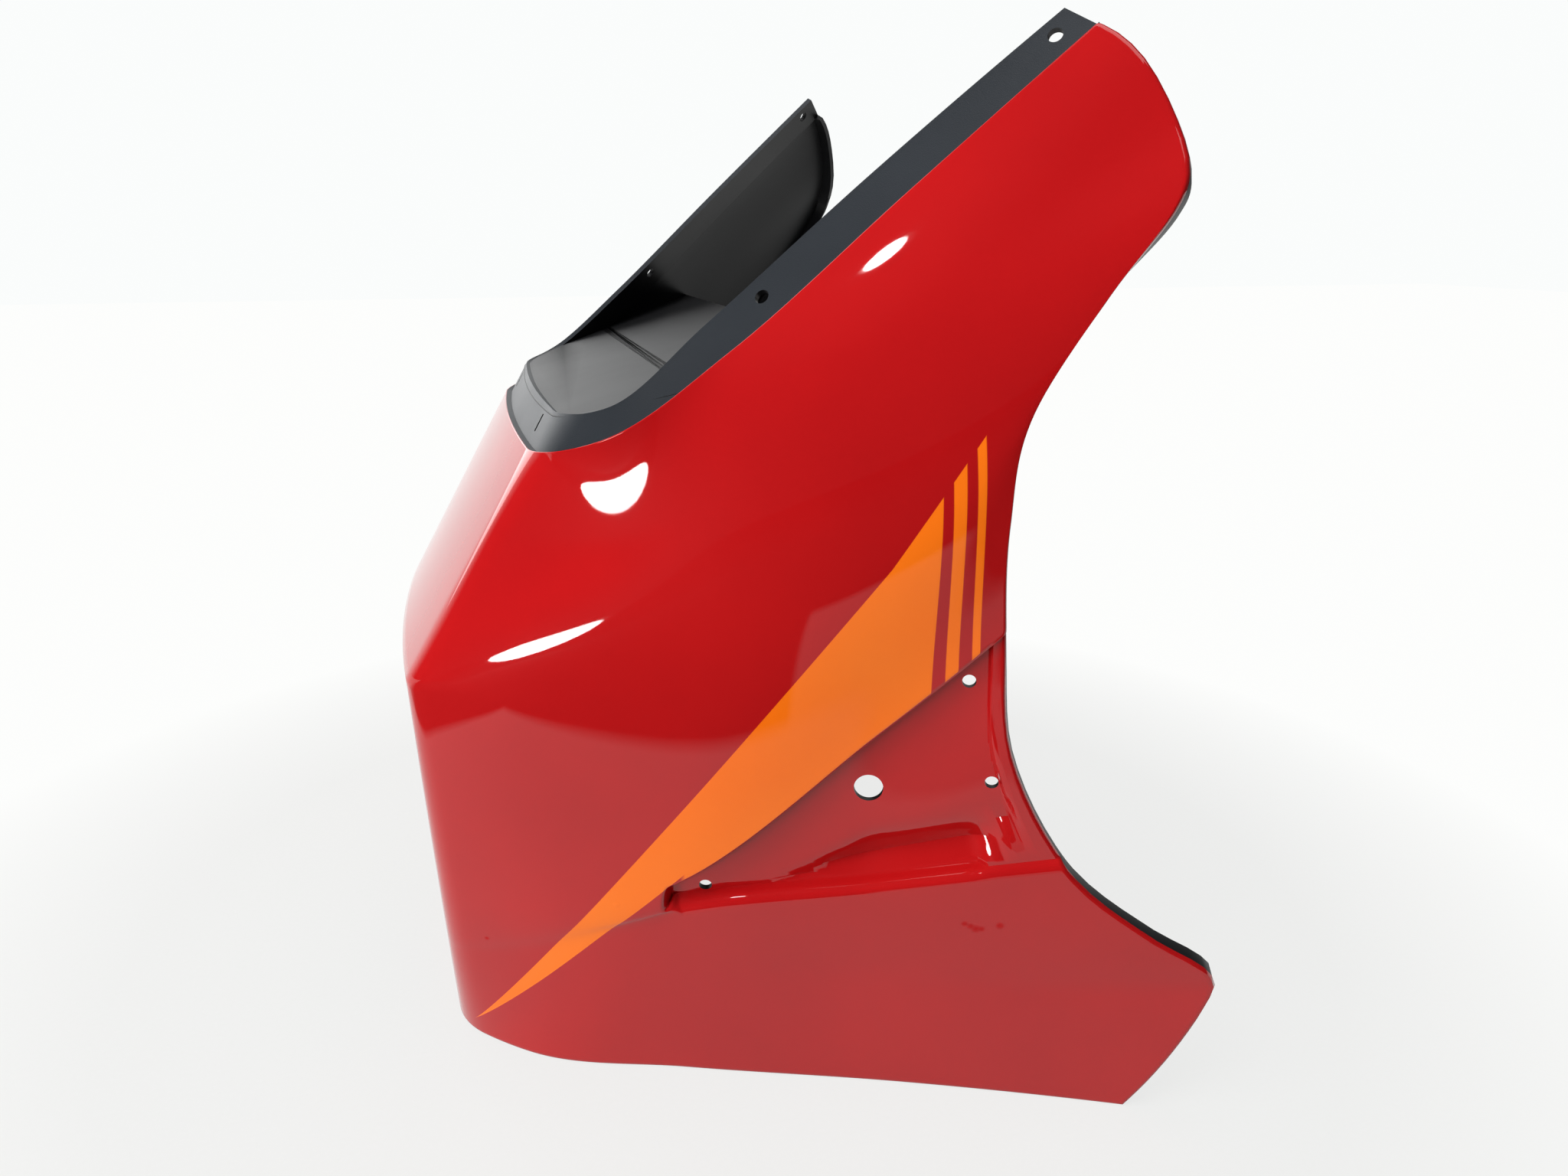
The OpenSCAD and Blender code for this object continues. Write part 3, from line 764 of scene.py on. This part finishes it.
    def seat_frame(self, u, v, side, middle):
        """Matrix on the skin at u and v, with its Z square to it."""
        p, n = skin(np.array([u]), np.array([v]))[0], outward(np.array([u]), np.array([v]))[0]
        return turned(((p[0] - middle) * MM, side * p[1] * MM, p[2] * MM), (n[0], side * n[1], n[2]))

    def lamp_cutter(self, middle):
        """Prism along X whose sides follow the ridges and whose corners are rounded."""
        gap, r, low, high = 13.0, 12.0, 20.0, BROW_FOOT_Z - 7.0
        ahead, length = 10, 50

        def half(z):
            return float(ridge_point(np.array([z]))[0, 1]) - gap
        outline = []
        for a in np.linspace(math.pi / 2, 0, 9):
            outline.append((low + r - r * math.sin(a), half(low + r) - r * (1 - math.cos(a))))
        for z in np.linspace(low + r, high - r, 14)[1:-1]:
            outline.append((z, half(z)))
        for a in np.linspace(0, math.pi / 2, 9):
            outline.append((high - r + r * math.sin(a), half(high - r) - r * (1 - math.cos(a))))
        outline += [(z, -y) for z, y in reversed(outline)]
        bm = bmesh.new()
        verts = [bm.verts.new(((-middle - ahead) * MM, y * MM, z * MM)) for z, y in outline]
        face = bm.faces.new(verts)
        made = bmesh.ops.extrude_face_region(bm, geom=[face])
        moved = [g for g in made["geom"] if isinstance(g, bmesh.types.BMVert)]
        bmesh.ops.translate(bm, vec=(length * MM, 0, 0), verts=moved)
        bmesh.ops.recalc_face_normals(bm, faces=bm.faces)
        return self.cutter(bm, "lamp_opening")

    def shelf(self, middle):
        """Sloping plate across the inside under the seat, sunk half way into the wall."""
        slope, thick, rear, front_z = math.radians(17), 2.4, 174.0, 290
        half_wall, seat_step = 1.3, 2.8

        def height(x):
            return front_z + math.tan(slope) * (x - BROW_BULGE - BROW_RAKE)
        outline = []
        for u in (*np.linspace(0, 1, 12), *np.linspace(1, 2, 8)[1:], *np.linspace(2, 2.85, 40)[1:]):
            a, b = 0.1, 2.9
            for _ in range(24):
                v = (a + b) / 2
                p = skin(np.array([u]), np.array([v]))[0]
                a, b = (v, b) if p[2] > height(p[0]) else (a, v)
            n = outward(np.array([u]), np.array([v]))[0]
            q = p - n * (half_wall + (seat_step if v < 1 else 0))
            if q[0] > rear:
                break
            outline.append((q[0], q[1]))
        outline.append((rear, outline[-1][1] + (rear - outline[-1][0]) * 0.3))
        outline += [(x, -y) for x, y in reversed(outline[1:])]
        bm = bmesh.new()
        verts = [bm.verts.new(((x - middle) * MM, y * MM, height(x) * MM)) for x, y in outline]
        face = bm.faces.new(verts)
        made = bmesh.ops.extrude_face_region(bm, geom=[face])
        moved = [g for g in made["geom"] if isinstance(g, bmesh.types.BMVert)]
        down = Vector((math.sin(slope), 0, -math.cos(slope))) * thick * MM
        bmesh.ops.translate(bm, vec=down, verts=moved)
        bmesh.ops.recalc_face_normals(bm, faces=bm.faces)
        return self.cutter(bm, "shelf")


def locate(x, z):
    """u and v of the point of the skin whose side view is x, z."""
    u, v, e = 2.5, 4.5, 0.01
    for _ in range(8):
        p, a, b = (skin(np.array([s]), np.array([t]))[0] for s, t in ((u, v), (u + e, v), (u, v + e)))
        a, b = (a - p) / e, (b - p) / e
        dx, dz, det = x - p[0], z - p[2], a[0] * b[2] - b[0] * a[2]
        u, v = u + (dx * b[2] - b[0] * dz) / det, v + (a[0] * dz - dx * a[2]) / det
    return u, v


class COWL_OT_stage(bpy.types.Operator):
    """Lays the pale floor and sets the lamps and the camera"""
    bl_idname = "cowl.stage"
    bl_label = "Floor, lamps and camera"

    def execute(self, context):
        bm = bmesh.new()
        bmesh.ops.create_grid(bm, x_segments=1, y_segments=1, size=FLOOR_HALF)
        floor = keep_mesh(bm, "floor", [floor_material()])
        for lamp in LAMPS:
            self.lamp(*lamp)
        self.world(context)
        self.camera(context)
        context.scene.view_settings.view_transform = "Standard"
        return {"FINISHED"}

    def lamp(self, name, place, aim, size, power, shape, mirrored):
        """An area lamp that the camera doesn't see."""
        data = bpy.data.lights.new(name, "AREA")
        data.shape, data.size, data.size_y, data.energy = shape, *size, power
        made = bpy.data.objects.new(name, data)
        bpy.context.scene.collection.objects.link(made)
        made.location = place
        made.rotation_mode = "QUATERNION"
        made.rotation_quaternion = (Vector(aim) - Vector(place)).to_track_quat("-Z", "Y")
        made.visible_camera = False
        made.visible_glossy = mirrored

    def world(self, context):
        """White behind the object as the camera and mirror rays see it, dim on the other side."""
        world = bpy.data.worlds.new("studio")
        context.scene.world = world
        world.use_nodes = True
        tree = world.node_tree
        tree.nodes.clear()
        path = node(tree, "ShaderNodeLightPath")
        camera = Socket(tree, path.outputs["Is Camera Ray"])
        mirror = Socket(tree, path.outputs["Is Glossy Ray"])
        direction = Socket(tree, node(tree, "ShaderNodeTexCoord").outputs["Generated"])
        split = node(tree, "ShaderNodeSeparateXYZ", None, {0: direction})
        behind = Socket(tree, split.outputs[1]).ramp(0.45, 0.75)
        light = node(tree, "ShaderNodeBackground", None, {"Color": (0.9, 0.95, 1, 1), "Strength": 0.12})
        dark = node(tree, "ShaderNodeBackground", None, {"Color": (0.9, 0.95, 1, 1), "Strength": 0.04})
        pale = node(tree, "ShaderNodeBackground", None, {"Color": (0.96, 0.975, 0.97, 1), "Strength": 1.0})
        soft = node(tree, "ShaderNodeMixShader", None, {0: mirror})
        tree.links.new(light.outputs[0], soft.inputs[1])
        tree.links.new(dark.outputs[0], soft.inputs[2])
        mix = node(tree, "ShaderNodeMixShader", None, {0: camera.either(mirror * behind)})
        tree.links.new(soft.outputs[0], mix.inputs[1])
        tree.links.new(pale.outputs[0], mix.inputs[2])
        output = node(tree, "ShaderNodeOutputWorld")
        tree.links.new(mix.outputs[0], output.inputs["Surface"])

    def camera(self, context):
        """The photo's camera, found from its vanishing lines."""
        data = bpy.data.cameras.new("camera")
        data.sensor_width, data.lens = SENSOR_W, CAMERA_LENS
        made = bpy.data.objects.new("camera", data)
        context.scene.collection.objects.link(made)
        made.location = CAMERA_PLACE
        level = math.cos(CAMERA_FALL)
        aim = Vector((math.sin(CAMERA_TURN) * level, math.cos(CAMERA_TURN) * level, -math.sin(CAMERA_FALL)))
        made.rotation_mode = "QUATERNION"
        made.rotation_quaternion = aim.to_track_quat("-Z", "Y")
        data.clip_start, data.clip_end = 0.01, 50
        context.scene.camera = made


class COWL_PT_panel(bpy.types.Panel):
    """Lists the cowl's sizes, colours and steps"""
    bl_idname = "COWL_PT_panel"
    bl_label = "Front upper cowl"
    bl_space_type = "VIEW_3D"
    bl_region_type = "UI"
    bl_category = "Cowl"

    def draw(self, context):
        for group in (context.scene.cowl_sizes, context.scene.cowl_colours):
            box = self.layout.box()
            for name in group.bl_rna.properties.keys():
                if name not in ("rna_type", "name"):
                    box.prop(group, name)
        for operator in (COWL_OT_shell, COWL_OT_stage):
            self.layout.operator(operator.bl_idname)


CLASSES = (CowlSizes, CowlColours, COWL_OT_shell, COWL_OT_stage, COWL_PT_panel)


def register():
    for made in CLASSES:
        bpy.utils.register_class(made)
    bpy.types.Scene.cowl_sizes = PointerProperty(type=CowlSizes)
    bpy.types.Scene.cowl_colours = PointerProperty(type=CowlColours)


def unregister():
    del bpy.types.Scene.cowl_colours
    del bpy.types.Scene.cowl_sizes
    for made in reversed(CLASSES):
        bpy.utils.unregister_class(made)


def main():
    register()
    bpy.ops.cowl.shell()
    bpy.ops.cowl.stage()


if __name__ == "__main__":
    main()
